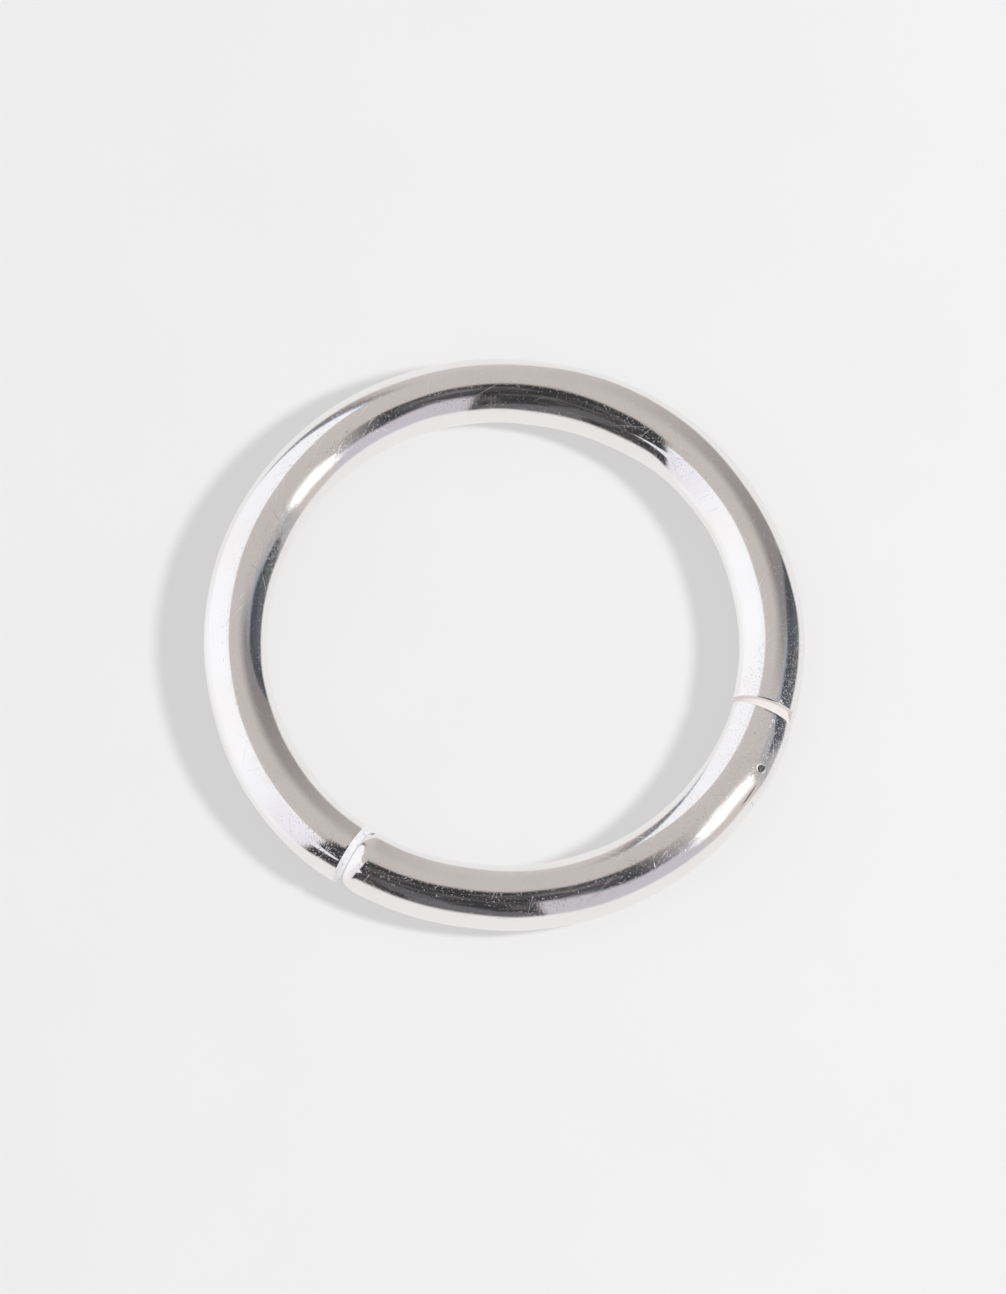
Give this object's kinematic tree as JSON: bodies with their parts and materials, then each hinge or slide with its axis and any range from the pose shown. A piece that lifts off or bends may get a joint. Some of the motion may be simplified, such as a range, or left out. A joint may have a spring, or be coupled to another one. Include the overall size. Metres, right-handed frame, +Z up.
{
  "type": "clicker ring",
  "caption": "Round silver wire ring for a piercing, with a hinged gate that snaps shut over a small tongue.",
  "frame": {"origin": "on the surface the ring lies on, under the middle of its hole", "axes": "+Z up through the hole, square to the ring's plane; +X towards the hinge side"},
  "size_m": [0.012, 0.012, 0.0013],
  "materials": {
    "silver": "polished silver",
    "pin": "cut and ground silver"
  },
  "bodies": {
    "ring": {"ring_body": "silver"},
    "gate": {"gate": "silver", "hinge_pin": "pin"}
  },
  "joints": [
    {"name": "gate_hinge", "type": "hinge", "parent": "ring", "child": "gate", "pos_m": [0.00516, -0.00281, 0.00065], "axis": [0, 0, 1], "range_deg": [0, 80]}
  ]
}
